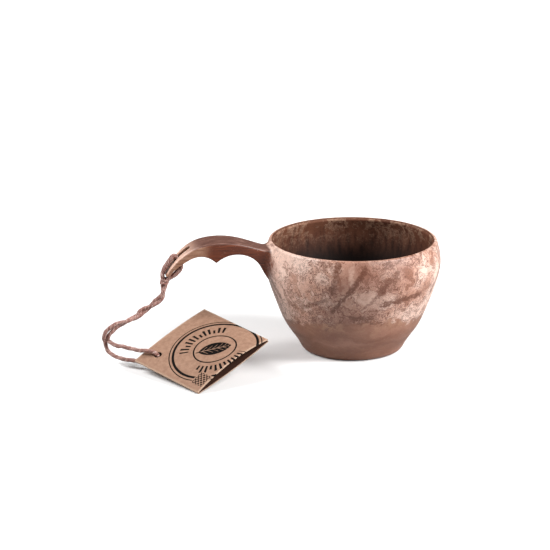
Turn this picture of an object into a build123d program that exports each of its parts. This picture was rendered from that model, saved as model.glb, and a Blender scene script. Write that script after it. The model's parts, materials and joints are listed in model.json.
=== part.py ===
"""A small drinking cup (kuksa) with a two-finger handle, a lace through the handle and a folded card tag.

Frame: millimetres, +Z up, origin at the centre of the cup's flat foot. The handle points along -X.
The lace and the card are flexible, so each is divided into stiff links where it bends.
"""

from build123d import *
import os
from math import cos, radians, sin

# ---- Bowl: its walls are surfaces of revolution about Z ----
FOOT_RADIUS = 24.5
HEEL = (29.2, 4.2)  # radius and height where the rounded heel meets the wall
WALL_POINTS = [(36.0, 14.3), (41.8, 27.0), (46.3, 40.0), (47.9, 50.0)]  # outer radius and height
RIM_RADIUS = 45.6
RIM_HEIGHT = 61.4
WALL_THICKNESS = 3.0
FLOOR_THICKNESS = 4.0
FLOOR_RADIUS = 21.0
LIP_FILLET = 1.3
HEEL_SLOPE = (0.55, 1.0)
RIM_SLOPE = (-0.35, 1.0)

# ---- Handle: side outline in the XZ plane ----
HANDLE_CREST = [(-52.0, 60.0), (-63.0, 63.4), (-76.0, 64.7), (-88.0, 62.1), (-98.0, 54.2)]
TIP_TOP = (-103.4, 45.8)
TIP_BOTTOM = (-101.7, 44.6)
FINGER_CUSP = (-76.0, 52.7)  # point between the two finger arches
OUTER_ARCH_POINTS = [(-95.8, 51.8), (-90.6, 55.4), (-84.3, 57.0)]
INNER_ARCH_TOP = (-65.3, 57.3)
INNER_ARCH_END = (-53.5, 52.0)
ROOT_TOP = (-44.0, 57.8)  # inside the bowl's wall
ROOT_BEND = (-49.6, 45.5)
ROOT_BOTTOM = (-44.0, 38.0)  # inside the bowl's wall
CREST_HALF_WIDTH = 9.3  # at CREST_HEIGHT; the flanks lean inwards from there
CREST_HEIGHT = 66.0
KEEL_HALF_WIDTH = 1.6
KEEL_HEIGHT = 37.0
TIP_FILLET = 3.0
CREST_FILLET = 1.2
UNDERSIDE_FILLET = 0.6
ROOT_FILLET = 4.0
CUSP_FILLET = 0.6

# ---- Slot for the lace, through the sloping tip ----
SLOT_CENTRE = (-94.4, 0, 57.9)
SLOT_SLOPE = 42.0  # degrees below level
SLOT_LENGTH = 11.5
SLOT_WIDTH = 4.4

# ---- Lace: one strand, and the twisted pair that hangs from the knot ----
STRAND_RADIUS = 1.1
PAIR_RADIUS = 1.7
KNOT = (-103.9, 0, 41.6)
KNOT_RADIUS = 2.4
LINK_GAP = 0.3  # between the ball that ends one link and the flat start of the next
LOOP_OVER = [(-104.9, 0, 46.2), (-102.5, 0, 51.4), (-98.7, 0, 56.3)]  # outside the tip, from the knot up
LOOP_IN_SLOT = (3.8, 0, -2.2)  # in the slot's own directions: at its lower end, halfway through the tip
LOOP_UNDER = [(-94.4, 0, 50.2), (-97.9, 0, 46.4)]  # inside the tip, back to the knot
UPPER_RUN = [(-104.3, -0.9, 37.0), (-108.6, -1.7, 31.5)]
BEND = (-119.0, -3.4, 24.7)  # pivot in the middle of the twisted pair
LOWER_RUN = [(-126.5, -5.0, 22.0), (-132.7, -6.2, 19.6), (-136.5, -6.4, 15.2)]
PARTING_BEYOND_FOLD = 24.0  # the strands part on the line of the fold, this far beyond the tag's corner
# The strands' bends, in the tag's directions: along the fold, away from the fold, above the fold.
OVER_START = 6.5  # clear distance from the parting
OVER_BENDS = [(-15.2, 1.1, 3.0), (-3.0, 4.3, 3.0), (4.3, 6.8, 3.6)]
UNDER_START = 3.5
UNDER_BENDS = [(-15.7, -1.6, -2.6), (-9.0, -0.2, -2.9), (-2.0, 2.4, -2.9), (4.3, 6.2, -3.8)]

# ---- Card tag: two square leaves, bowed away from each other ----
TAG_CORNER = (-122.8, -24.8, 6.55)  # end of the fold nearest the lace
FOLD_DIRECTION = (0.541, -0.834, -0.108)
TAG_NORMAL = (-0.255, -0.285, 0.924)
TAG_SIZE = 51.0
CARD_THICKNESS = 0.5
FRONT_BOW_NEAR_LACE = 1.2  # at the edge by the lace's hole
FRONT_BOW_FAR = 3.1  # at the opposite edge
BACK_BOW = 1.0
LEAF_GAP = 0.25  # half of the gap between the leaves at the fold and at the free edge
TAG_HOLE_INSET = 8.8  # from the fold and from the side edge
TAG_HOLE_RADIUS = 2.2

os.makedirs("parts", exist_ok=True)

# ---- Frames that the pieces are placed by ----
tag_plane = Plane(origin=TAG_CORNER, x_dir=FOLD_DIRECTION, z_dir=TAG_NORMAL)  # x along the fold
tag_section = Plane(origin=TAG_CORNER, x_dir=tag_plane.y_dir, z_dir=tag_plane.x_dir)  # x away from the fold
slot_plane = Plane(
    origin=SLOT_CENTRE,
    x_dir=(-cos(radians(SLOT_SLOPE)), 0, -sin(radians(SLOT_SLOPE))),
    z_dir=(-sin(radians(SLOT_SLOPE)), 0, cos(radians(SLOT_SLOPE))),
)


def on_tag(along_fold, from_fold, height):
    """A point given in the tag's own directions."""
    return tag_plane.from_local_coords(Vector(along_fold, from_fold, height))


parting = on_tag(-PARTING_BEYOND_FOLD, 0, 0)


def beyond(pivot, target, distance):
    """The point at a distance from a pivot, on the way to a target."""
    return Vector(pivot) + (Vector(target) - Vector(pivot)).normalized() * distance


# ---- Cup: bowl and handle are one moulding ----
with BuildPart() as handle_blank:
    with BuildSketch(Plane.XZ.offset(-CREST_HALF_WIDTH)):
        with BuildLine():
            Spline(ROOT_TOP, *HANDLE_CREST, TIP_TOP)
            Line(TIP_TOP, TIP_BOTTOM)
            Spline(TIP_BOTTOM, *OUTER_ARCH_POINTS, FINGER_CUSP, tangents=[(0.3, 1), (0.7, -0.75)])
            inner_arch = ThreePointArc(FINGER_CUSP, INNER_ARCH_TOP, INNER_ARCH_END)
            Spline(INNER_ARCH_END, ROOT_BEND, ROOT_BOTTOM, tangents=[inner_arch % 1, (1, -0.8)])
            Line(ROOT_BOTTOM, ROOT_TOP)
        make_face()
    extrude(amount=2 * CREST_HALF_WIDTH)
    with BuildSketch(Plane.YZ.offset(TIP_TOP[0] - 1)):
        with BuildLine():
            flank = Line((CREST_HALF_WIDTH, CREST_HEIGHT), (KEEL_HALF_WIDTH, KEEL_HEIGHT))
            mirror(about=Plane.YZ)
            Line(flank @ 0, (-CREST_HALF_WIDTH, CREST_HEIGHT))
            Line(flank @ 1, (-KEEL_HALF_WIDTH, KEEL_HEIGHT))
        make_face()
    extrude(amount=ROOT_TOP[0] - TIP_TOP[0] + 2, mode=Mode.INTERSECT)
    tip_corners = handle_blank.faces().sort_by(Axis.X)[0].edges().sort_by(Axis.Y)
    fillet([tip_corners[0], tip_corners[-1]], radius=TIP_FILLET)
    cusp = (FINGER_CUSP[0], 0, FINGER_CUSP[1])
    fillet(handle_blank.edges().filter_by(Axis.Y).sort_by_distance(cusp)[0], radius=CUSP_FILLET)
    left, right = handle_blank.faces().filter_by(GeomType.PLANE).sort_by(SortBy.AREA)[-2:]
    left_edges = left.edges().filter_by(GeomType.LINE, reverse=True).sort_by(Axis.Z)
    right_edges = right.edges().filter_by(GeomType.LINE, reverse=True).sort_by(Axis.Z)
    fillet(left_edges[:-1] + right_edges[:-1], radius=UNDERSIDE_FILLET)
    crest_face = handle_blank.faces().sort_by(Axis.Z)[-1]
    fillet(crest_face.edges().sort_by(Axis.X)[:-1], radius=CREST_FILLET)

with BuildPart() as cup_body:
    with BuildSketch(Plane.XZ):
        with BuildLine():
            Line((0, 0), (FOOT_RADIUS, 0))
            Spline((FOOT_RADIUS, 0), HEEL, tangents=[(1, 0), HEEL_SLOPE])
            Spline(HEEL, *WALL_POINTS, (RIM_RADIUS, RIM_HEIGHT), tangents=[HEEL_SLOPE, RIM_SLOPE])
            Line((RIM_RADIUS, RIM_HEIGHT), (0, RIM_HEIGHT))
            Line((0, RIM_HEIGHT), (0, 0))
        make_face()
    revolve(axis=Axis.Z)
    fillet(cup_body.edges().filter_by(GeomType.CIRCLE).sort_by(Axis.Z)[-1], radius=LIP_FILLET)
    add(handle_blank.part)
    seam = cup_body.edges(Select.NEW)
    fillet(seam, radius=ROOT_FILLET)
    with BuildSketch(slot_plane):
        SlotOverall(SLOT_LENGTH, SLOT_WIDTH)
    extrude(amount=9, both=True, mode=Mode.SUBTRACT)
    with BuildSketch(Plane.XZ):
        with BuildLine():
            Line((0, FLOOR_THICKNESS), (FLOOR_RADIUS, FLOOR_THICKNESS))
            Spline(
                (FLOOR_RADIUS, FLOOR_THICKNESS),
                *[(radius - WALL_THICKNESS, height) for radius, height in WALL_POINTS],
                (RIM_RADIUS - WALL_THICKNESS, RIM_HEIGHT),
                tangents=[(1, 0), RIM_SLOPE],
            )
            Line((RIM_RADIUS - WALL_THICKNESS, RIM_HEIGHT), (0, RIM_HEIGHT))
            Line((0, RIM_HEIGHT), (0, FLOOR_THICKNESS))
        make_face()
    revolve(axis=Axis.Z, mode=Mode.SUBTRACT)
    rim_face = cup_body.faces().filter_by(Axis.Z).sort_by(Axis.Z)[-1]
    fillet(rim_face.edges().sort_by(SortBy.LENGTH)[0], radius=LIP_FILLET)

# ---- Lace: each link ends in a ball, which is the pivot that the next link hangs from ----
with BuildPart() as lace_handle_loop:
    through_slot = slot_plane.from_local_coords(Vector(*LOOP_IN_SLOT))
    with BuildLine():
        Spline(KNOT, *LOOP_OVER, through_slot, tangents=[(-0.2, 0, 1), -slot_plane.z_dir])
    with BuildSketch(Plane(origin=through_slot, z_dir=slot_plane.z_dir)):
        Circle(STRAND_RADIUS)
    sweep()
    with BuildLine():
        Spline(through_slot, *LOOP_UNDER, KNOT, tangents=[-slot_plane.z_dir, (-0.8, 0, -0.6)])
    with BuildSketch(Plane(origin=through_slot, z_dir=slot_plane.z_dir)):
        Circle(STRAND_RADIUS)
    sweep()
    with Locations(KNOT):
        Sphere(KNOT_RADIUS)

with BuildPart() as lace_upper_run:
    with BuildLine():
        upper = Spline(beyond(KNOT, UPPER_RUN[0], KNOT_RADIUS + LINK_GAP), *UPPER_RUN, BEND)
    with BuildSketch(Plane(origin=upper @ 0, z_dir=upper % 0)):
        Circle(PAIR_RADIUS)
    sweep()
    with Locations(BEND):
        Sphere(PAIR_RADIUS)

with BuildPart() as lace_lower_run:
    with BuildLine():
        lower = Spline(beyond(BEND, LOWER_RUN[0], PAIR_RADIUS + LINK_GAP), *LOWER_RUN, parting)
    with BuildSketch(Plane(origin=lower @ 0, z_dir=lower % 0)):
        Circle(PAIR_RADIUS)
    sweep()
    with Locations(parting):
        Sphere(PAIR_RADIUS)

tag_hole = (TAG_HOLE_INSET, TAG_HOLE_INSET)
with BuildPart() as lace_strand_over:
    bends = [on_tag(*bend) for bend in OVER_BENDS]
    start = beyond(parting, bends[0], OVER_START)
    with BuildLine():
        Spline(start, *bends, on_tag(*tag_hole, LEAF_GAP), tangents=[bends[0] - start, -tag_plane.z_dir])
    with BuildSketch(Plane(origin=start, z_dir=bends[0] - start)):
        Circle(STRAND_RADIUS)
    sweep()

with BuildPart() as lace_strand_under:
    bends = [on_tag(*bend) for bend in UNDER_BENDS]
    start = beyond(parting, bends[0], UNDER_START)
    with BuildLine():
        Spline(start, *bends, on_tag(*tag_hole, -LEAF_GAP), tangents=[bends[0] - start, tag_plane.z_dir])
    with BuildSketch(Plane(origin=start, z_dir=bends[0] - start)):
        Circle(STRAND_RADIUS)
    sweep()

# ---- Tag: the leaves meet at the fold and at the free edge, and bow apart between them ----
with BuildPart() as tag_front_leaf:
    for along_fold, bow in ((0, FRONT_BOW_NEAR_LACE), (TAG_SIZE, FRONT_BOW_FAR)):
        with BuildSketch(tag_section.offset(along_fold)):
            with BuildLine():
                near_side = ThreePointArc(
                    (0, LEAF_GAP), (TAG_SIZE / 2, LEAF_GAP + bow), (TAG_SIZE, LEAF_GAP)
                )
                far_side = ThreePointArc(
                    (0, LEAF_GAP + CARD_THICKNESS),
                    (TAG_SIZE / 2, LEAF_GAP + bow + CARD_THICKNESS),
                    (TAG_SIZE, LEAF_GAP + CARD_THICKNESS),
                )
                Line(near_side @ 0, far_side @ 0)
                Line(near_side @ 1, far_side @ 1)
            make_face()
    loft()
    with BuildSketch(tag_plane):
        with Locations(tag_hole):
            Circle(TAG_HOLE_RADIUS)
    extrude(amount=TAG_HOLE_INSET, mode=Mode.SUBTRACT)

with BuildPart() as tag_back_leaf:
    with BuildSketch(tag_section):
        with BuildLine():
            near_side = ThreePointArc(
                (0, -LEAF_GAP), (TAG_SIZE / 2, -LEAF_GAP - BACK_BOW), (TAG_SIZE, -LEAF_GAP)
            )
            far_side = ThreePointArc(
                (0, -LEAF_GAP - CARD_THICKNESS),
                (TAG_SIZE / 2, -LEAF_GAP - BACK_BOW - CARD_THICKNESS),
                (TAG_SIZE, -LEAF_GAP - CARD_THICKNESS),
            )
            Line(near_side @ 0, far_side @ 0)
            Line(near_side @ 1, far_side @ 1)
        make_face()
    extrude(amount=TAG_SIZE)
    with BuildSketch(tag_plane):
        with Locations(tag_hole):
            Circle(TAG_HOLE_RADIUS)
    extrude(amount=-TAG_HOLE_INSET, mode=Mode.SUBTRACT)

# ---- Write each piece ----
pieces = {
    "cup_body": cup_body,
    "lace_handle_loop": lace_handle_loop,
    "lace_upper_run": lace_upper_run,
    "lace_lower_run": lace_lower_run,
    "lace_strand_over": lace_strand_over,
    "lace_strand_under": lace_strand_under,
    "tag_front_leaf": tag_front_leaf,
    "tag_back_leaf": tag_back_leaf,
}
for name, piece in pieces.items():
    piece.part.label = name
    export_step(piece.part, f"parts/{name}.step")
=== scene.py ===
"""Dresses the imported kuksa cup: marbled moulded bowl and handle, twisted lace, folded card tag.

Everything is in metres in the CAD frame: +Z up, origin at the centre of the foot, handle along -X.
Lengths are written as a number of millimetres times MM, except in materials, which work in mm.
"""

import json
from math import cos, pi, radians, sin

import bmesh
import bpy
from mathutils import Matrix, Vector


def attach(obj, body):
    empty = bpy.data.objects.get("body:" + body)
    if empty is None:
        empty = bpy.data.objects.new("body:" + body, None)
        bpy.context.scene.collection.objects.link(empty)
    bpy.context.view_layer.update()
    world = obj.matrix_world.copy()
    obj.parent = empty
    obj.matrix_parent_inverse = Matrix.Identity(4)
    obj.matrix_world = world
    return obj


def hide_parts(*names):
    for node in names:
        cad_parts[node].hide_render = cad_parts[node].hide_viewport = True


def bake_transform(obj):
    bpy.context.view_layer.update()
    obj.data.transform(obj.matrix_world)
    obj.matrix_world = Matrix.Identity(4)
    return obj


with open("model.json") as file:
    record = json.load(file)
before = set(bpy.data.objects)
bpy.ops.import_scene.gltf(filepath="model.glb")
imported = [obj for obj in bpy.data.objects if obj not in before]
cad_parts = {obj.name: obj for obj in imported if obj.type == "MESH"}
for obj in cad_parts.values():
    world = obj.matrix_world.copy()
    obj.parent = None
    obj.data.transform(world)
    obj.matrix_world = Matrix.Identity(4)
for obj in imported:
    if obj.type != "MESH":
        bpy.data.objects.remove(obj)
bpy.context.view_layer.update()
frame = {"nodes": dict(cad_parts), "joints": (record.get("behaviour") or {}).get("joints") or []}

MM = 0.001
joints = {joint["name"]: joint for joint in frame["joints"]}


def joint_place(name):
    return Vector(joints[name]["pos_m"])


# ---- Small helpers for node graphs ----
def ink(code):
    """The linear colour of an sRGB hex code."""
    parts = [int(code[i : i + 2], 16) / 255 for i in (1, 3, 5)]
    return [p / 12.92 if p <= 0.04045 else ((p + 0.055) / 1.055) ** 2.4 for p in parts] + [1.0]


class Graph:
    """A material with short calls for adding nodes to it. Values may be numbers or sockets."""

    def __init__(self, name):
        self.material = bpy.data.materials.new(name)
        self.material.use_nodes = True
        self.tree = self.material.node_tree
        self.tree.nodes.clear()

    def node(self, kind, inputs=None, **settings):
        made = self.tree.nodes.new("ShaderNode" + kind)
        for key, value in settings.items():
            setattr(made, key, value)
        for key, value in (inputs or {}).items():
            self.feed(made.inputs[key], value)
        return made

    def feed(self, socket, value):
        if isinstance(value, bpy.types.NodeSocket):
            self.tree.links.new(value, socket)
        else:
            socket.default_value = value

    def math(self, operation, *values):
        made = self.node("Math", operation=operation)
        for socket, value in zip(made.inputs, values):
            self.feed(socket, value)
        return made.outputs[0]

    def add(self, first, second):
        return self.math("ADD", first, second)

    def sub(self, first, second):
        return self.math("SUBTRACT", first, second)

    def mul(self, first, second):
        return self.math("MULTIPLY", first, second)

    def larger(self, first, second):
        return self.math("MAXIMUM", first, second)

    def smaller(self, first, second):
        return self.math("MINIMUM", first, second)

    def size(self, value):
        return self.math("ABSOLUTE", value)

    def length(self, first, second):
        return self.math("SQRT", self.add(self.mul(first, first), self.mul(second, second)))

    def vector(self, operation, *values, result="Vector"):
        made = self.node("VectorMath", operation=operation)
        vectors = [socket for socket in made.inputs if socket.name != "Scale"]
        for socket, value in zip(vectors, values):
            self.feed(socket, value)
        return made.outputs[result]

    def scaled(self, vector, factors):
        return self.vector("MULTIPLY", vector, factors)

    def parts(self, vector):
        return self.node("SeparateXYZ", {"Vector": vector}).outputs

    def step(self, value, low, high):
        """0 before low, 1 after high, and smooth between them; low may be above high."""
        made = self.node("MapRange", interpolation_type="SMOOTHSTEP")
        for key, given in (("Value", value), ("From Min", low), ("From Max", high)):
            self.feed(made.inputs[key], given)
        return made.outputs["Result"]

    def noise(self, vector, scale, detail=3.0, rough=0.5, twist=0.0, result="Fac"):
        inputs = {"Vector": vector, "Scale": scale, "Detail": detail, "Roughness": rough,
                  "Distortion": twist}
        return self.node("TexNoise", inputs).outputs[result]

    def wander(self, vector, scale, detail, rough):
        """A noise vector about zero, for moving a pattern's coordinates about."""
        return self.vector("SUBTRACT", self.noise(vector, scale, detail, rough, result="Color"),
                           (0.5, 0.5, 0.5))

    def mix(self, factor, first, second, blend="MIX"):
        made = self.node("Mix", data_type="RGBA", blend_type=blend)
        # The colour sockets of a mix node are inputs 6 and 7 and output 2.
        for place, value in ((0, factor), (6, first), (7, second)):
            self.feed(made.inputs[place], value)
        return made.outputs[2]

    def ramp(self, factor, *stops):
        """A colour ramp through (place, hex code) stops."""
        made = self.node("ValToRGB", {"Fac": factor})
        elements = made.color_ramp.elements
        while len(elements) < len(stops):
            elements.new(0.5)
        for element, (place, code) in zip(elements, stops):
            element.position = place
            element.color = ink(code)
        return made.outputs["Color"]

    def band(self, value, centre, half_width, softness):
        """1 within half_width of centre, falling to 0 over softness."""
        away = self.size(self.sub(value, centre))
        return self.step(away, self.add(half_width, softness), half_width)

    def show(self, shader):
        self.feed(self.node("OutputMaterial").inputs["Surface"], shader.outputs[0])
        return self.material

    def finish(self, colour, roughness, height, bump_distance, bump_strength, **extra):
        relief = {"Height": height, "Distance": bump_distance, "Strength": bump_strength}
        bump = self.node("Bump", relief)
        inputs = {"Base Color": colour, "Roughness": roughness, "Normal": bump.outputs[0], **extra}
        return self.show(self.node("BsdfPrincipled", inputs))


# ---- The cup's moulded wood-fibre composite ----
FRONT_TURN = radians(-100)  # the side of the bowl, about Z, that arcs are measured from
ARC_RADIUS = 45  # turns angles round the bowl into lengths along the wall
# Darker strokes in the marbling: start and end (along the wall, height), half width, strength.
STROKES = [
    ((-12, 31.5), (6, 58), 1.3, 1.0),
    ((-11.5, 43), (-8, 60), 1.6, 0.75),
    ((10, 39.5), (23, 55.5), 1.5, 0.8),
    ((4, 34), (15, 44), 0.9, 0.6),
    ((14, 36.5), (40, 38.5), 1.6, 1.0),
    ((-32, 33), (-14, 39), 1.3, 0.75),
    ((-3, 28.5), (11, 28.5), 1.3, 0.9),
    ((52, 36), (68, 56), 1.8, 0.8),
    ((80, 52), (104, 40), 2.0, 0.8),
    ((-62, 52), (-48, 34), 1.8, 0.8),
    ((112, 34), (126, 55), 1.8, 0.8),
    ((-110, 40), (-84, 44), 1.8, 0.8),
]

BELT_LEAN = 0.55  # arc per height of the slanting browner belt across the front
BELT_CENTRE, BELT_HALF, BELT_FADE = -19, 11, 15
BAND_TOP, BAND_SWELL, BAND_WAVE = 22.5, 3.6, 22  # the plain band at the foot: its wavy top line
INNER_RADIUS, INNER_FADE = 47.5, 1.0  # the inside's painted shade lies only nearer the axis than this
LIP_HEIGHT, LIP_RADIUS = 59.5, 44.6  # the inner edge of the lip gets painted shade
HANDLE_X, HANDLE_FADE = -44, 4  # where the handle's streaks take over from the marbling
GREY, WHITE = "#7d7d7d", "#ffffff"
CUP_BUMP, CUP_BUMP_STRENGTH = 0.25 * MM, 0.6


def stroke_marks(g, along, height):
    """How strongly a point lies on one of the strokes, from 0 to 1."""
    marks = 0.0
    for (a0, z0), (a1, z1), half_width, strength in STROKES:
        length = ((a1 - a0) ** 2 + (z1 - z0) ** 2) ** 0.5
        way_a, way_z = (a1 - a0) / length, (z1 - z0) / length
        da, dz = g.sub(along, a0), g.sub(height, z0)
        forward = g.add(g.mul(da, way_a), g.mul(dz, way_z))
        across = g.sub(g.mul(dz, way_a), g.mul(da, way_z))
        mark = g.mul(g.band(across, 0, half_width * 0.6, half_width * 0.7),
                     g.band(forward, length / 2, length / 2 - 2, 4))
        marks = g.larger(marks, g.mul(mark, strength))
    return marks


def handle_colour(g, cm, x, normal_z):
    """Streaked along its length: grey-brown crest, red-brown flanks, tan and peach tip."""
    streaks = g.noise(g.scaled(cm, (0.35, 3.5, 3.5)), 2.6, 6, 0.6)
    to_tip = g.add(x, g.mul(g.sub(streaks, 0.5), 14))
    crest = g.ramp(streaks, (0.32, "#48291f"), (0.5, "#6a463b"), (0.68, "#906c60"))
    flank = g.ramp(streaks, (0.35, "#572410"), (0.55, "#75371c"), (0.7, "#8f4b2b"))
    tan = g.ramp(streaks, (0.35, "#8a5c44"), (0.5, "#ac7d63"), (0.68, "#c49b83"))
    # The pale peach on top of the tip is partly painted highlight.
    peach_highlight = g.ramp(streaks, (0.35, "#bf907a"), (0.5, "#e0b7a2"), (0.68, "#eccdbd"))
    crest = g.mix(g.step(to_tip, -84, -95), crest, peach_highlight)
    flank = g.mix(g.step(to_tip, -78, -85), flank, tan)
    return g.mix(g.step(normal_z, 0.15, 0.45), flank, crest)


def cup_material():
    g = Graph("cup_composite")
    place = g.node("TexCoord").outputs["Object"]
    cm = g.scaled(place, (100, 100, 100))
    normal = g.node("NewGeometry").outputs["Normal"]
    x, z = (g.mul(g.parts(place)[axis], 1000) for axis in "XZ")
    normal_z = g.parts(normal)["Z"]

    # Where a point is round the bowl, in mm from the front, and its distance from the axis.
    front = (cos(FRONT_TURN), sin(FRONT_TURN), 0)
    right = (-sin(FRONT_TURN), cos(FRONT_TURN), 0)
    ahead = g.vector("DOT_PRODUCT", place, front, result="Value")
    aside = g.vector("DOT_PRODUCT", place, right, result="Value")
    arc = g.mul(g.math("ARCTAN2", aside, ahead), ARC_RADIUS)
    radius = g.vector("LENGTH", g.scaled(place, (1000, 1000, 0)), result="Value")

    # Wandering coordinates give the torn edges of the marbling.
    wander = g.wander(cm, 0.9, 5, 0.62)
    fine_wander = g.wander(cm, 3.2, 6, 0.7)
    torn = g.vector("ADD", cm, g.scaled(wander, (1.5, 1.5, 1.5)))
    torn_fine = g.vector("ADD", torn, g.scaled(fine_wander, (0.5, 0.5, 0.5)))
    cloud = g.noise(torn_fine, 0.42, 7, 0.6)
    cells = g.noise(torn_fine, 0.85, 8, 0.68, 0.3)
    grain = g.noise(cm, 26, 4, 0.65)
    speck = g.noise(cm, 9.0, 6, 0.75)

    light, pale, warm = "#d6a793", "#f0cfbf", "#9a6953"
    deep, vein = ink("#633623"), ink("#54291a")
    body = g.ramp(cloud, (0.37, warm), (0.45, light), (0.485, "#b1806a"), (0.515, light),
                  (0.62, pale))
    patches = g.ramp(cells, (0.41, warm), (0.47, light), (0.51, "#a97a65"), (0.59, pale))
    body = g.mix(0.55, body, patches)

    # The marbling is browner in a broad slanting belt across the front, and paler beside it.
    belt = g.add(g.sub(arc, g.mul(z, BELT_LEAN)), g.mul(g.parts(wander)["X"], 8))
    beside = g.larger(g.step(belt, 0, 12), g.step(belt, -46, -62))
    beside = g.mul(beside, g.step(cloud, 0.38, 0.54))
    body = g.mix(g.mul(beside, 0.6), body, ink(pale))
    brown = g.ramp(cells, (0.42, "#86594a"), (0.60, "#a87d6a"))
    body = g.mix(g.mul(g.band(belt, BELT_CENTRE, BELT_HALF, BELT_FADE), 0.62), body, brown)

    # Thin brown veins follow the contour lines of the same noise, as the map-like figure does.
    contour = g.math("FRACT", g.mul(cells, 11))
    line = g.band(contour, 0.5, 0.05, 0.09)
    where = g.step(g.noise(cm, 0.55, 3, 0.5), 0.38, 0.52)
    body = g.mix(g.mul(g.mul(line, where), 0.8), body, vein)
    edge = g.larger(g.band(cloud, 0.475, 0.004, 0.012), g.band(cloud, 0.545, 0.003, 0.010))
    body = g.mix(g.mul(edge, 0.75), body, deep)

    # Diagonal strokes of darker fibre.
    sway = g.parts(g.scaled(wander, (9, 9, 9)))
    fray = g.parts(g.scaled(fine_wander, (7, 7, 7)))
    along = g.add(arc, g.add(g.mul(sway["X"], 0.45), fray["X"]))
    height = g.add(z, g.add(g.mul(sway["Z"], 0.5), fray["Z"]))
    broken = g.mul(g.step(speck, 0.34, 0.49), 0.86)
    body = g.mix(g.mul(stroke_marks(g, along, height), broken), body, deep)

    # Below a wavy line the composite is plain and smooth, with faint level streaks.
    swell = g.mul(g.math("COSINE", g.math("DIVIDE", g.sub(arc, 6), BAND_WAVE)), BAND_SWELL)
    level = g.add(g.add(BAND_TOP, swell), g.mul(sway["Y"], 2.2))
    level = g.add(level, g.mul(fray["Y"], 1.5))
    low = g.step(z, g.add(level, 1.0), g.sub(level, 1.0))
    streaks = g.noise(g.scaled(torn, (0.30, 0.30, 1.6)), 1.1, 4, 0.5)
    band = g.ramp(streaks, (0.35, "#885945"), (0.5, "#93644f"), (0.65, "#a1715d"))
    haze = g.step(g.add(z, g.mul(sway["X"], 2)), 16, 24)
    band = g.mix(g.mul(haze, g.step(cloud, 0.45, 0.62)), band, ink("#b5886f"))
    shore = g.mul(g.band(z, level, 0.3, 1.6), g.step(cells, 0.42, 0.6))
    body = g.mix(low, body, band)
    body = g.mix(g.mul(shore, 0.75), body, deep)

    # Inside: painted shade, with a mottled lighter ring under the lip that breaks up downwards.
    away = g.vector("NORMALIZE", g.scaled(place, (1, 1, 0)))
    outward = g.vector("DOT_PRODUCT", away, normal, result="Value")
    floor_of_bowl = g.mul(g.step(normal_z, 0.2, 0.5), g.step(z, 30, 20))
    faces_in = g.larger(g.step(outward, -0.02, -0.25), floor_of_bowl)
    inside = g.mul(faces_in, g.step(radius, INNER_RADIUS, INNER_RADIUS - INNER_FADE))
    runs = g.noise(g.scaled(cm, (1.6, 1.6, 0.35)), 2.4, 6, 0.6)
    inside_shade = g.ramp(runs, (0.35, "#43251a"), (0.5, "#60392a"), (0.68, "#774c39"))
    mottle = g.ramp(cells, (0.42, "#60392a"), (0.49, "#b8927a"), (0.53, "#774c39"))
    fade = g.add(z, g.mul(g.sub(speck, 0.5), 40))
    inside_shade = g.mix(g.step(fade, 44, 66), inside_shade, mottle)
    # More painted shade: near black lower down, easing to dark brown on the floor of the bowl.
    inside_shade = g.mix(g.step(z, 60, 35), inside_shade, ink("#080201"))
    inside_shade = g.mix(g.step(z, 34, 22), inside_shade, ink("#3a2219"))
    body = g.mix(inside, body, inside_shade)
    # Painted shade on the inner edge of the lip.
    lip_shade = g.mul(g.step(normal_z, 0.45, 0.9), g.step(z, LIP_HEIGHT, LIP_HEIGHT + 0.9))
    body = g.mix(g.mul(lip_shade, g.step(radius, LIP_RADIUS, LIP_RADIUS - 1)), body, ink("#553427"))

    reach = g.add(x, g.add(g.mul(sway["X"], 0.6), fray["X"]))
    gripped = g.mul(g.step(reach, HANDLE_X, HANDLE_X - HANDLE_FADE), g.step(radius, 46.6, 47.8))
    body = g.mix(gripped, body, handle_colour(g, cm, x, normal_z))

    # Fine fibre grain everywhere, and pale worn flecks on the outside.
    body = g.mix(0.30, body, g.ramp(grain, (0.35, GREY), (0.65, WHITE)), "MULTIPLY")
    flecks = g.mul(g.step(speck, 0.60, 0.70), g.sub(0.25, g.mul(inside, 0.25)))
    body = g.mix(flecks, body, ink(pale))
    roughness = g.add(0.34, g.add(g.mul(cells, 0.20), g.mul(inside, 0.2)))
    relief = g.add(g.mul(grain, 0.35), g.mul(cells, 0.65))
    shine = g.sub(0.5, g.mul(inside, 0.35))
    return g.finish(body, roughness, relief, CUP_BUMP, CUP_BUMP_STRENGTH,
                    **{"Specular IOR Level": shine})


# ---- Lace ----
FIBRE_TURN = 0.22  # turns round the strand that the fibres make per mm of its length
LACE_BUMP, LACE_BUMP_STRENGTH = 0.4 * MM, 0.9


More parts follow.
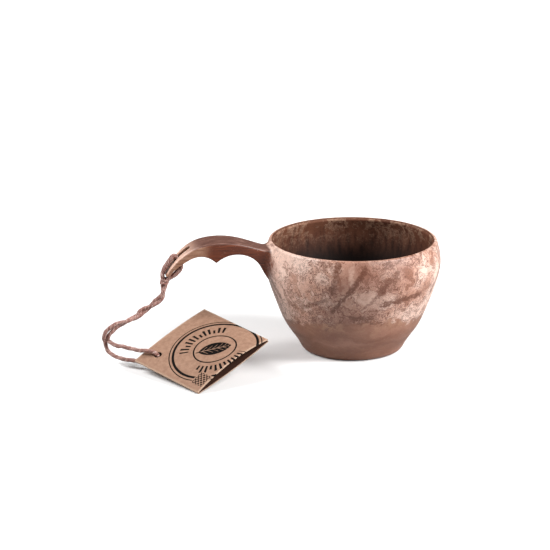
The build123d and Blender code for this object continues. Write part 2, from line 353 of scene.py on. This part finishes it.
def lace_material():
    """The UV map holds the share of a turn round the strand, and the mm along it."""
    g = Graph("lace_cord")
    split = g.parts(g.node("UVMap", uv_map="Lace").outputs["UV"])
    around, along = split["X"], split["Y"]
    turned = g.mul(g.add(around, g.mul(along, FIBRE_TURN)), 2 * pi)
    round_x, round_y = g.math("COSINE", turned), g.math("SINE", turned)
    fibre_place, blotch_place = (
        g.node("CombineXYZ", {"X": round_x, "Y": round_y, "Z": g.mul(along, pace)}).outputs[0]
        for pace in (0.05, 0.35))
    fibres = g.noise(fibre_place, 5.5, 5, 0.65)
    blotch = g.noise(blotch_place, 1.0, 4, 0.6)
    # The darkest and the near-white fibres are partly painted shade and highlight.
    colour = g.ramp(fibres, (0.38, "#35160f"), (0.455, "#7a4438"), (0.53, "#a97667"),
                    (0.62, "#ecd5cd"))
    colour = g.mix(g.step(blotch, 0.42, 0.60), colour, g.mix(0.5, colour, ink("#6e3a2e")))
    # Pale patches on the strands, partly painted highlight.
    pale_highlight_patches = g.step(g.noise(blotch_place, 3.0, 5, 0.7), 0.60, 0.72)
    colour = g.mix(g.mul(pale_highlight_patches, 0.6), colour, ink("#d9bdb4"))
    roughness = g.add(0.5, g.mul(fibres, 0.25))
    return g.finish(colour, roughness, fibres, LACE_BUMP, LACE_BUMP_STRENGTH,
                    **{"Sheen Weight": 0.15})


CURVE_STEPS = 24  # points worked out between each two given ones, before they are evened out


def curve_through(points, spacing=0.4 * MM):
    """Evenly spaced points on a smooth curve through the given points."""
    ends = [2 * points[0] - points[1], *points, 2 * points[-1] - points[-2]]
    dense = []
    for p0, p1, p2, p3 in zip(ends, ends[1:], ends[2:], ends[3:]):
        for i in range(CURVE_STEPS):
            t = i / CURVE_STEPS
            dense.append(0.5 * (2 * p1 + (p2 - p0) * t + (2 * p0 - 5 * p1 + 4 * p2 - p3) * t * t
                                + (3 * p1 - 3 * p2 + p3 - p0) * t ** 3))
    dense.append(points[-1])
    lengths = [0.0]
    for a, b in zip(dense, dense[1:]):
        lengths.append(lengths[-1] + (b - a).length)
    count = max(2, round(lengths[-1] / spacing))
    result, j = [], 0
    for i in range(count + 1):
        target = lengths[-1] * i / count
        while j < len(dense) - 2 and lengths[j + 1] < target:
            j += 1
        span = max(lengths[j + 1] - lengths[j], 1e-12)
        result.append(dense[j].lerp(dense[j + 1], min(1.0, (target - lengths[j]) / span)))
    return result


def frames_along(line):
    """Two directions across the line at each point, turning as little as possible."""
    before, after = [line[0], *line[:-1]], [*line[1:], line[-1]]
    directions = [(b - a).normalized() for a, b in zip(before, after)]
    side = directions[0].orthogonal().normalized()
    result = []
    for direction in directions:
        side = (side - side.dot(direction) * direction).normalized()
        result.append((side, direction.cross(side)))
    return result


STRAND = 1.08 * MM  # mean radius
STRAND_SIDES = 18
LOBES, LOBE_DEPTH, LOBE_PITCH = 3, 0.11, 8.0  # each strand is itself loosely twisted; pitch in mm
SLOW_WAVE, QUICK_WAVE = (0.05, 1.7), (0.03, 3.9)  # unevenness: share of the radius, radians per mm


def strand_mesh(name, lines):
    """One mesh of closed tubes. Each line is (points, length at its start in mm)."""
    mesh = bmesh.new()
    uv_layer = mesh.loops.layers.uv.new("Lace")
    for line, start in lines:
        rings, travelled = [], [start]
        for a, b in zip(line, line[1:]):
            travelled.append(travelled[-1] + (b - a).length / MM)
        for point, (side, up), length in zip(line, frames_along(line), travelled):
            ring = []
            for k in range(STRAND_SIDES):
                angle = 2 * pi * k / STRAND_SIDES
                swell = 1 + LOBE_DEPTH * cos(LOBES * angle + 2 * pi * length / LOBE_PITCH)
                swell += SLOW_WAVE[0] * sin(length * SLOW_WAVE[1])
                swell += QUICK_WAVE[0] * sin(length * QUICK_WAVE[1] + angle)
                out = cos(angle) * side + sin(angle) * up
                ring.append(mesh.verts.new(point + STRAND * swell * out))
            rings.append(ring)
        for i in range(len(rings) - 1):
            for k in range(STRAND_SIDES):
                after = (k + 1) % STRAND_SIDES
                near, far = rings[i], rings[i + 1]
                face = mesh.faces.new((near[k], near[after], far[after], far[k]))
                face.smooth = True
                corners = ((k, i), (k + 1, i), (k + 1, i + 1), (k, i + 1))
                for loop, (turn, row) in zip(face.loops, corners):
                    loop[uv_layer].uv = (turn / STRAND_SIDES, travelled[row])
        for ring, order, length in ((rings[0], -1, travelled[0]), (rings[-1], 1, travelled[-1])):
            cap = mesh.faces.new(ring[::order])
            for loop in cap.loops:
                loop[uv_layer].uv = (0.5, length)
    return place_bmesh(name, mesh)


def place_mesh(name, data):
    piece = bpy.data.objects.new(name, data)
    bpy.context.scene.collection.objects.link(piece)
    return piece


def place_bmesh(name, mesh):
    data = bpy.data.meshes.new(name)
    mesh.to_mesh(data)
    mesh.free()
    return place_mesh(name, data)


def dress(piece, material):
    piece.data.materials.clear()
    piece.data.materials.append(material)


def spine(node, start, end, count, low, high):
    """Centres of cuts through a CAD node, at shares low to high of the way from start to end."""
    way = end - start
    centres = []
    for i in range(count):
        share = low + (high - low) * i / (count - 1)
        cut = bmesh.new()
        cut.from_mesh(frame["nodes"][node].data)
        sliced = bmesh.ops.bisect_plane(cut, geom=cut.verts[:] + cut.edges[:] + cut.faces[:],
                                        plane_co=start + share * way, plane_no=way)
        found = [v.co for v in sliced["geom_cut"] if isinstance(v, bmesh.types.BMVert)]
        if found:
            sides = [[p[axis] for p in found] for axis in range(3)]
            centres.append(Vector([(min(side) + max(side)) / 2 for side in sides]))
        cut.free()
    return centres


knot = joint_place("lace_swing")
bend = joint_place("lace_bend")
parting = joint_place("tag_swing")
slot_pivot = joint_place("lace_turn")

# The tag's own directions: along the fold, away from it, and up through the front leaf.
tag_corner = joint_place("tag_open")
along_fold = Vector(joints["tag_open"]["axis"]).normalized()


def leaf_points(node):
    return [v.co - tag_corner for v in frame["nodes"][node].data.vertices]


both_leaves = leaf_points("tag_front_leaf") + leaf_points("tag_back_leaf")
off_fold = [p - p.dot(along_fold) * along_fold for p in both_leaves]
farthest = sorted(off_fold, key=lambda p: -p.length)[:20]
from_fold = sum(farthest, Vector()).normalized()  # towards the middle of the free edges
off_leaf = along_fold.cross(from_fold).normalized()
from_fold = off_leaf.cross(along_fold)


def on_tag(u, v, h):
    """A point u along the fold, v away from it and h up from the middle of the card."""
    return tag_corner + u * along_fold + v * from_fold + h * off_leaf


HOLE_INSET = 8.8 * MM  # from the fold and from the tag's edge to the middle of the hole
HALF_GAP = 0.5 * MM  # from the middle of the fold to the middle of either leaf

hole_top = on_tag(HOLE_INSET, HOLE_INSET, HALF_GAP)
hole_bottom = on_tag(HOLE_INSET, HOLE_INSET, -HALF_GAP)
# The shares of each way leave out the links' round ends, and the gaps between links.
upper_spine = spine("lace_upper_run", knot, bend, 7, 0.2, 0.93)
lower_spine = spine("lace_lower_run", bend, parting, 9, 0.12, 0.93)
over_spine = spine("lace_strand_over", parting, hole_top, 7, 0.24, 0.94)
under_spine = spine("lace_strand_under", parting, hole_bottom, 7, 0.14, 0.94)

pair_line = curve_through([knot, *upper_spine, bend, *lower_spine, parting])
pair_frames = frames_along(pair_line)
pair_length = len(pair_line) - 1


def nearest(line, point):
    return min(range(len(line)), key=lambda i: (line[i] - point).length)


bend_row = nearest(pair_line, bend)
opening_row = bend_row * 0.9  # the strands begin to open just before the bend
PAIR_SPREAD = 0.88 * MM  # half the distance between the strands in the twist
PAIR_OPENING = 0.75 * MM  # what the opening below the bend adds to it at most
TWIST_PITCH = 21 * MM
TWIST_START = 0.9  # radians
SLACK_PACE = 0.30  # below the bend, the pair twists at this share of the pace above it
LOOSE_ROWS = 9  # rows left out above the parting, where each strand finds its own way
THINNING = 6  # every sixth point of the twist is enough to draw a smooth line through


def spread(row):
    """Half the distance between the two strands: close in the twist, wider below the bend."""
    opening = max(0.0, (row - opening_row) / (pair_length - opening_row))
    return PAIR_SPREAD + PAIR_OPENING * sin(pi * min(1.0, opening)) ** 2


def wound(sign):
    """One strand of the pair, from the knot to just before the parting."""
    result, turned, step_length = [], TWIST_START, (pair_line[1] - pair_line[0]).length
    for row, (point, (side, up)) in enumerate(zip(pair_line, pair_frames)):
        pace = 1.0 if row < bend_row else SLACK_PACE
        turned += 2 * pi * step_length / TWIST_PITCH * pace
        result.append(point + sign * spread(row) * (cos(turned) * side + sin(turned) * up))
    return result[:-LOOSE_ROWS]


def joined(first, second):
    """One smooth line through both, which need not touch."""
    return curve_through(first[::THINNING] + second)


over_path = joined(wound(1), over_spine + [hole_top])
under_turn = parting + Vector((0.6, -1.7, -2.9)) * MM  # this strand sags as it turns to the tag
under_path = joined(wound(-1), [under_turn] + under_spine[1:] + [hole_bottom])


def cut_rows(path, strand_start):
    """Row numbers where the path is divided between pieces."""
    half_upper = (knot + bend) / 2
    half_lower = lower_spine[len(lower_spine) // 2]
    cuts = [nearest(path, point) for point in (half_upper, half_lower, strand_start)]
    return [0, *cuts, len(path) - 1]


def portion(path, first, last):
    """The path between two rows, and the mm from the path's start to the first."""
    travelled = sum((b - a).length for a, b in zip(path[: first + 1], path[1 : first + 1])) / MM
    return path[first : last + 1], travelled


over_rows = cut_rows(over_path, over_spine[0])
under_rows = cut_rows(under_path, under_spine[0])
lace_finish = lace_material()


def lace_piece(name, lines):
    piece = strand_mesh(name, lines)
    dress(piece, lace_finish)
    return piece


def pair_piece(name, part):
    return lace_piece(name, [portion(path, rows[part], rows[part + 1])
                             for path, rows in ((over_path, over_rows), (under_path, under_rows))])


def blend_about(piece):
    """Bakes the piece's placement into its mesh."""
    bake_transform(piece)


pair_top = pair_piece("lace_pair_top", 0)
blend_about(pair_top)
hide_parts("lace_upper_run")

pair_middle = pair_piece("lace_pair_middle", 1)
blend_about(pair_middle)

# The pair comes down to the parting from above, and leaves it towards the tag.
pair_bottom = pair_piece("lace_pair_bottom", 2)
blend_about(pair_bottom)
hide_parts("lace_lower_run")

lace_over = lace_piece("lace_over", [portion(over_path, over_rows[3], over_rows[4])])
blend_about(lace_over)
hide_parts("lace_strand_over")

lace_under = lace_piece("lace_under", [portion(under_path, under_rows[3], under_rows[4])])
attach(lace_under, "tag_back")
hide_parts("lace_strand_under")

# The short length between the leaves, which closes the lace's loop.
bight_line = curve_through([hole_bottom, (hole_bottom + hole_top) / 2, hole_top], 0.05 * MM)
lace_bight = lace_piece("lace_bight", [(bight_line, 0)])
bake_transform(lace_bight)

# The loop round the handle's tip: both strands side by side, drawn together by a wrapped knot.
# In mm, (x, z) from the slot's pivot: up the outside of the tip, through the slot, back under it.
LOOP_SHAPE = [(-8.0, -12.0), (-9.1, -7.8), (-6.8, -2.4), (-3.3, 2.2), (-1.2, 2.0), (0.3, -0.6),
              (1.1, -4.0), (-2.2, -7.6), (-7.2, -10.8)]
LOOP_SPREAD, LOOP_END_SPREAD = 1.0 * MM, 0.6 * MM  # half the distance between the strands
LOOP_START = 7  # mm; unlike starts give the two strands unlike surfaces
loop_lines = []
for sign in (-1, 1):
    loop_points = [slot_pivot + Vector((lx * MM, sign * LOOP_SPREAD, lz * MM))
                   for lx, lz in LOOP_SHAPE]
    loop_points[0].y = loop_points[-1].y = sign * LOOP_END_SPREAD
    loop_lines.append((curve_through(loop_points), LOOP_START * sign))
lace_loop = lace_piece("lace_handle_hitch", loop_lines)
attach(lace_loop, "lace_loop")
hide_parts("lace_handle_loop")

KNOT_TURNS, KNOT_COIL, KNOT_HEIGHT, KNOT_RISE = 2.7, 1.35 * MM, 3.4 * MM, 0.8 * MM
KNOT_STEPS, KNOT_START = 40, 40
KNOT_TUCK, KNOT_TUCK_RATE = 0.35, 9  # the coil's ends are drawn in to this share of its radius
knot_way = Vector((-0.35, 0.0, -0.94)).normalized()
knot_side = knot_way.orthogonal().normalized()
knot_up = knot_way.cross(knot_side)
coil = []
for i in range(KNOT_STEPS + 1):
    share = i / KNOT_STEPS
    angle = 2 * pi * KNOT_TURNS * share
    inward = min(1.0, KNOT_TUCK_RATE * share, KNOT_TUCK_RATE * (1 - share))
    tuck = KNOT_TUCK + (1 - KNOT_TUCK) * inward
    off_axis = KNOT_COIL * tuck * (cos(angle) * knot_side + sin(angle) * knot_up)
    coil.append(knot + ((share - 0.5) * KNOT_HEIGHT - KNOT_RISE) * knot_way + off_axis)
lace_knot = lace_piece("lace_knot", [(curve_through(coil, 0.3 * MM), KNOT_START)])
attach(lace_knot, "lace_loop")


# ---- Card tag: one folded sheet ----
SHEET = 0.5 * MM  # thickness
LEAF_ROWS, FOLD_ROWS, ALONG_ROWS = 60, 14, 64
FOLD_SHARE = 0.02  # share of each leaf's width that the round fold takes up
HOLE_RADIUS, PUNCH_DEPTH = 2.2 * MM, 12 * MM
INSIDE_TILES = 2  # the inside's UV map is moved this many tiles along, so the material can paint shade on it
tag_size = max(p.dot(along_fold) for p in both_leaves)


def leaf_bow(node, u, sign):
    """How far a leaf's middle stands off the line between its edges, at u along the fold."""
    row = [p for p in leaf_points(node) if abs(p.dot(along_fold) - u) < 0.3 * MM]
    heights = [sign * p.dot(off_leaf) for p in row]
    return max(heights) - HALF_GAP - SHEET / 2


front_near, front_far = (leaf_bow("tag_front_leaf", u, 1) for u in (0, tag_size))
back_near, back_far = (leaf_bow("tag_back_leaf", u, -1) for u in (0, tag_size))


def sheet_middle(s, u):
    """(distance from the fold, height) of the sheet's middle; s is -1 at the back's free edge, 1 at
    the front's."""
    if abs(s) < FOLD_SHARE:
        angle = pi / 2 * s / FOLD_SHARE
        return -HALF_GAP * cos(angle), HALF_GAP * sin(angle)
    v = (abs(s) - FOLD_SHARE) / (1 - FOLD_SHARE)
    near, far = (front_near, front_far) if s > 0 else (back_near, back_far)
    bow = near + (far - near) * u / tag_size
    height = HALF_GAP + 4 * bow * v * (1 - v)
    return v * tag_size, height if s > 0 else -height


def card_sheet():
    shares = [-1 + (1 - FOLD_SHARE) * i / LEAF_ROWS for i in range(LEAF_ROWS)]
    shares += [-FOLD_SHARE + 2 * FOLD_SHARE * i / FOLD_ROWS for i in range(FOLD_ROWS)]
    shares += [FOLD_SHARE + (1 - FOLD_SHARE) * i / LEAF_ROWS for i in range(LEAF_ROWS + 1)]
    mesh = bmesh.new()
    uv_layer = mesh.loops.layers.uv.new("Card")
    grids = []
    for face_side in (1, -1):
        grid = []
        for i in range(ALONG_ROWS + 1):
            u = tag_size * i / ALONG_ROWS
            middle = [sheet_middle(s, u) for s in shares]
            column = []
            for j, (v, h) in enumerate(middle):
                (v0, h0), (v1, h1) = middle[max(j - 1, 0)], middle[min(j + 1, len(middle) - 1)]
                way = Vector((v1 - v0, h1 - h0)).normalized()
                out_v, out_h = -way.y, way.x  # the outer face is on the left of the way round
                half = face_side * SHEET / 2
                column.append(mesh.verts.new(on_tag(u, v + half * out_v, h + half * out_h)))
            grid.append(column)
        grids.append(grid)
    outer, inner = grids
    count = len(shares)

    def uv_of(i, j):
        return i / ALONG_ROWS, shares[j]

    def quad(verts, corners):
        face = mesh.faces.new(verts)
        face.smooth = True
        for loop, corner in zip(face.loops, corners):
            loop[uv_layer].uv = uv_of(*corner)

    for i in range(ALONG_ROWS):
        for j in range(count - 1):
            corners = ((i, j), (i, j + 1), (i + 1, j + 1), (i + 1, j))
            quad([outer[a][b] for a, b in corners], corners)
            quad([inner[a][b] for a, b in corners[::-1]],
                 [(a - INSIDE_TILES * ALONG_ROWS, b) for a, b in corners[::-1]])

    def edge_quad(first, second, order):
        """A face across the sheet's thickness, between two neighbouring points of its edge."""
        (a, b), (c, d) = first, second
        verts = [outer[a][b], outer[c][d], inner[c][d], inner[a][b]]
        quad(verts[::order], [first, second, second, first][::order])

    for i in range(ALONG_ROWS):
        edge_quad((i, 0), (i + 1, 0), 1)
        edge_quad((i, count - 1), (i + 1, count - 1), -1)
    for j in range(count - 1):
        edge_quad((0, j), (0, j + 1), -1)
        edge_quad((ALONG_ROWS, j), (ALONG_ROWS, j + 1), 1)
    bmesh.ops.recalc_face_normals(mesh, faces=mesh.faces[:])
    return place_bmesh("card_sheet", mesh)


def punch(piece, centre, way, radius, depth):
    """Cuts a round hole through a piece."""
    mesh = bmesh.new()
    bmesh.ops.create_cone(mesh, cap_ends=True, segments=48, radius1=radius, radius2=radius,
                          depth=depth)
    turn = Vector((0, 0, 1)).rotation_difference(way)
    for vert in mesh.verts:
        vert.co = turn @ vert.co + centre
    tool = place_bmesh("punch", mesh)
    cut = piece.modifiers.new("hole", "BOOLEAN")
    cut.operation, cut.solver, cut.object = "DIFFERENCE", "EXACT", tool
    evaluated = piece.evaluated_get(bpy.context.evaluated_depsgraph_get())
    result = bpy.data.meshes.new_from_object(evaluated)
    piece.modifiers.clear()
    piece.data = result
    bpy.data.objects.remove(tool)


# The print, in mm along the fold and away from it: plain rings, bars, a leaf, a chequered square.
RING_CENTRE = (34.0, 28.6)
INNER_RING, OUTER_RING, THIN_RING = 11.5, 22.8, 24.9
BAR_COUNT, BAR_FROM, BAR_TO = 40, 14.4, 19.4
BAR_GROUPS = [(170, 52), (330, 52)]  # degrees round the ring: middle of the group, half width
LEAF_TURN = radians(51)
LEAF_ARC, LEAF_SHIFT = 10.2, 5.0
RIB_HALF, RIB_END, VEIN_END = 0.16, 6.6, 3.2
VEINS_PER_MM = 0.36
HATCH_CENTRE, HATCH_HALF, HATCH_CELL = (46.0, 7.7), 3.85, 2.2
BAR_STEP = 1.9  # how much shorter every third bar is
EDGE_SOFT = 0.1  # how gradually the ink starts at the edge of a mark
PRINT_START = 1.5  # nothing is printed nearer the fold than this
CARD_BUMP, CARD_BUMP_STRENGTH = 0.12 * MM, 0.7


def card_material():
    g = Graph("kraft_card")
    side = tag_size / MM
    split = g.parts(g.node("UVMap", uv_map="Card").outputs["UV"])
    u, v = g.mul(split["X"], side), g.mul(split["Y"], side)
    mm = g.node("CombineXYZ", {"X": u, "Y": v}).outputs[0]

    # Kraft board: cloudy pulp, long pale and dark fibres, a few dark flecks.
    pulp = g.noise(mm, 0.35, 6, 0.62)
    fibre = g.noise(g.scaled(mm, (1.0, 0.16, 1.0)), 3.2, 5, 0.7)
    cross = g.noise(g.scaled(mm, (0.18, 1.1, 1.0)), 3.0, 5, 0.7)
    fleck = g.noise(mm, 2.6, 3, 0.5)
    colour = g.ramp(pulp, (0.30, "#826250"), (0.5, "#8f6e5a"), (0.70, "#9b7a65"))
    colour = g.mix(g.mul(g.step(fibre, 0.52, 0.68), 0.45), colour, ink("#a98a76"))
    colour = g.mix(g.mul(g.step(cross, 0.55, 0.72), 0.40), colour, ink("#856149"))
    colour = g.mix(g.mul(g.step(fleck, 0.70, 0.76), 0.6), colour, ink("#7a563c"))

    # Paler along the fold and at the edges: painted highlight where they catch the light.
    edge = g.smaller(g.smaller(u, g.sub(side, u)), g.sub(side, g.size(v)))
    edge = g.smaller(edge, g.mul(g.size(v), 0.8))
    edge_highlight = g.add(edge, g.mul(g.sub(fibre, 0.5), 1.6))
    colour = g.mix(g.mul(g.step(edge_highlight, 1.0, 0.1), 0.5), colour, ink("#cfb39c"))

    du, dv = g.sub(u, RING_CENTRE[0]), g.sub(v, RING_CENTRE[1])
    away = g.length(du, dv)
    marks = g.band(away, INNER_RING, 0.36, 0.12)
    marks = g.larger(marks, g.band(away, OUTER_RING, 0.62, 0.14))
    marks = g.larger(marks, g.band(away, THIN_RING, 0.24, 0.10))

    # Bars between the rings, in two groups, every third one shorter.
    angle = g.math("ARCTAN2", dv, du)
    count = g.mul(angle, BAR_COUNT / (2 * pi))
    bar = g.band(g.math("FRACT", count), 0.5, 0.21, 0.05)
    third = g.math("LESS_THAN", g.math("FRACT", g.math("DIVIDE", g.math("FLOOR", count), 3)), 0.2)
    reach = g.add(BAR_TO, g.mul(third, -BAR_STEP))
    bar = g.mul(bar, g.step(away, BAR_FROM - EDGE_SOFT, BAR_FROM + EDGE_SOFT))
    bar = g.mul(bar, g.step(away, g.add(reach, EDGE_SOFT), g.sub(reach, EDGE_SOFT)))
    groups = 0.0
    for middle, half in BAR_GROUPS:
        facing = g.math("COSINE", g.sub(angle, radians(middle)))
        groups = g.larger(groups, g.math("GREATER_THAN", facing, cos(radians(half))))
    marks = g.larger(marks, g.mul(bar, groups))

    # A plain leaf: two arcs that cross, a pale midrib with side veins, and a stalk.
    ahead = g.add(g.mul(du, cos(LEAF_TURN)), g.mul(dv, sin(LEAF_TURN)))
    aside = g.sub(g.mul(dv, cos(LEAF_TURN)), g.mul(du, sin(LEAF_TURN)))
    leaf = 1.0
    for shift in (-LEAF_SHIFT, LEAF_SHIFT):
        off = g.sub(aside, shift)
        span = g.length(ahead, off)
        leaf = g.smaller(leaf, g.step(span, LEAF_ARC + EDGE_SOFT, LEAF_ARC - EDGE_SOFT))
    rib = g.mul(g.band(aside, 0, RIB_HALF, EDGE_SOFT), g.step(ahead, RIB_END, RIB_END - 0.6))
    slant = g.sub(ahead, g.size(aside))
    side_veins = g.band(g.math("FRACT", g.mul(slant, VEINS_PER_MM)), 0.5, 0.04, 0.03)
    side_veins = g.mul(side_veins, g.step(g.size(aside), VEIN_END, VEIN_END - 0.3))
    leaf = g.mul(leaf, g.sub(1.0, g.larger(rib, side_veins)))
    stalk = g.mul(g.band(aside, 0, 0.32, 0.10), g.band(ahead, -9.0, 1.3, 0.2))
    marks = g.larger(marks, g.larger(leaf, stalk))

    # The chequered square hides the ring behind it.
    hu, hv = g.sub(u, HATCH_CENTRE[0]), g.sub(v, HATCH_CENTRE[1])
    off_middle = g.larger(g.size(hu), g.size(hv))
    within = g.step(off_middle, HATCH_HALF + 0.05, HATCH_HALF - 0.05)
    rows = g.math("GREATER_THAN", g.math("FRACT", g.mul(hu, 1 / HATCH_CELL)), 0.5)
    columns = g.math("GREATER_THAN", g.math("FRACT", g.mul(hv, 1 / HATCH_CELL)), 0.5)
    chequer = g.size(g.sub(rows, columns))
    marks = g.mul(marks, g.step(off_middle, HATCH_HALF + 0.5, HATCH_HALF + 0.6))
    marks = g.larger(marks, g.mul(within, chequer))

    # The ink lies on the front leaf only, and the fibres show through it.
    printed = g.mul(marks, g.math("GREATER_THAN", v, PRINT_START))
    printed = g.mul(printed, g.sub(1.0, g.mul(g.step(fibre, 0.60, 0.72), 0.35)))
    # The inside of the fold is painted dark brown: painted shade between the leaves.
    shaded_inside = g.math("LESS_THAN", split["X"], -0.5)
    colour = g.mix(shaded_inside, colour, g.mix(pulp, ink("#2c170e"), ink("#4c2c1d")))
    colour = g.mix(printed, colour, ink("#0b0807"))
    roughness = g.sub(0.78, g.mul(printed, 0.18))
    relief = g.add(g.mul(fibre, 0.6), g.mul(pulp, 0.4))
    shine = g.sub(0.3, g.mul(printed, 0.24))
    return g.finish(colour, roughness, relief, CARD_BUMP, CARD_BUMP_STRENGTH,
                    **{"Specular IOR Level": shine})


card = card_sheet()
punch(card, on_tag(HOLE_INSET, HOLE_INSET, 0), off_leaf, HOLE_RADIUS, PUNCH_DEPTH)
dress(card, card_material())
blend_about(card)
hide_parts("tag_front_leaf", "tag_back_leaf")

# ---- The cup keeps its CAD mesh and takes the marbled finish ----
cup = frame["nodes"]["cup_body"]
cup.data.materials[0] = cup_material()


# ---- Stage: pale floor, soft light from both sides, camera ----
WORLD_LIGHT, WORLD_SEEN = 0.13, 1.1  # strength for lighting, and as the camera sees it
PAPER, BOUNCE = 0.92, 0.45  # the floor's grey to the camera, and to light that bounces off it
GLOW_FROM, GLOW_FULL = 0.22, 0.60  # metres from the cup: the floor starts to glow, glows fully
FLOOR_HALF = 6.0
# Name, place, what it is aimed at, width, height, watts.
SOFTBOXES = [
    ("left_softbox", (-0.84, 0.06, 0.75), (0, 0, 0.04), 0.5, 0.6, 15.0),
    ("right_softbox", (0.74, -0.42, 0.60), (0, 0, 0.04), 0.5, 0.6, 20.0),
    ("front_fill", (-0.1, -1.3, 0.9), (-0.03, 0, 0.03), 0.8, 0.5, 0.8),
]
LENS_MM, SENSOR_MM = 190.4, 36.0
CAMERA_PLACE = Vector((-0.3063, -1.4934, 0.4892))
CAMERA_TARGET = Vector((-0.0398, 0.0182, 0.0375))


def studio_world():
    world = bpy.data.worlds.new("studio")
    world.use_nodes = True
    nodes, links = world.node_tree.nodes, world.node_tree.links
    nodes.clear()
    ray = nodes.new("ShaderNodeLightPath")
    seen = nodes.new("ShaderNodeBackground")
    seen.inputs["Strength"].default_value = WORLD_SEEN
    lit = nodes.new("ShaderNodeBackground")
    lit.inputs["Strength"].default_value = WORLD_LIGHT
    choose = nodes.new("ShaderNodeMixShader")
    out = nodes.new("ShaderNodeOutputWorld")
    links.new(ray.outputs["Is Camera Ray"], choose.inputs[0])
    links.new(lit.outputs[0], choose.inputs[1])
    links.new(seen.outputs[0], choose.inputs[2])
    links.new(choose.outputs[0], out.inputs["Surface"])
    return world


def floor_material():
    """White paper that reads as pure white to the camera where no shadow falls."""
    g = Graph("studio_floor")
    paper = g.node("BsdfDiffuse", {"Color": (PAPER, PAPER, PAPER, 1)})
    bounce = g.node("BsdfDiffuse", {"Color": (BOUNCE, BOUNCE, BOUNCE, 1)})
    away = g.vector("LENGTH", g.node("NewGeometry").outputs["Position"], result="Value")
    glow = g.node("Emission", {"Strength": g.step(away, GLOW_FROM, GLOW_FULL)})
    both = g.node("AddShader", {0: paper.outputs[0], 1: glow.outputs[0]})
    to_camera = g.node("LightPath").outputs["Is Camera Ray"]
    return g.show(g.node("MixShader", {0: to_camera, 1: bounce.outputs[0], 2: both.outputs[0]}))


def aim(thing, place, target):
    thing.location = place
    thing.rotation_euler = (Vector(target) - Vector(place)).to_track_quat("-Z", "Y").to_euler()
    bpy.context.scene.collection.objects.link(thing)


floor_data = bpy.data.meshes.new("floor")
corner_signs = ((-1, -1), (1, -1), (1, 1), (-1, 1))
floor_corners = [(a * FLOOR_HALF, b * FLOOR_HALF, 0) for a, b in corner_signs]
floor_data.from_pydata(floor_corners, [], [(0, 1, 2, 3)])
floor = place_mesh("floor", floor_data)
floor.data.materials.append(floor_material())

bpy.context.scene.world = studio_world()
for name, place, target, width, height, power in SOFTBOXES:
    light = bpy.data.lights.new(name, "AREA")
    light.shape, light.size, light.size_y, light.energy = "RECTANGLE", width, height, power
    aim(bpy.data.objects.new(name, light), place, target)

camera_data = bpy.data.cameras.new("camera")
camera_data.lens, camera_data.sensor_width = LENS_MM, SENSOR_MM
camera = bpy.data.objects.new("camera", camera_data)
aim(camera, CAMERA_PLACE, CAMERA_TARGET)
bpy.context.scene.camera = camera
bpy.context.scene.view_settings.view_transform = "Standard"
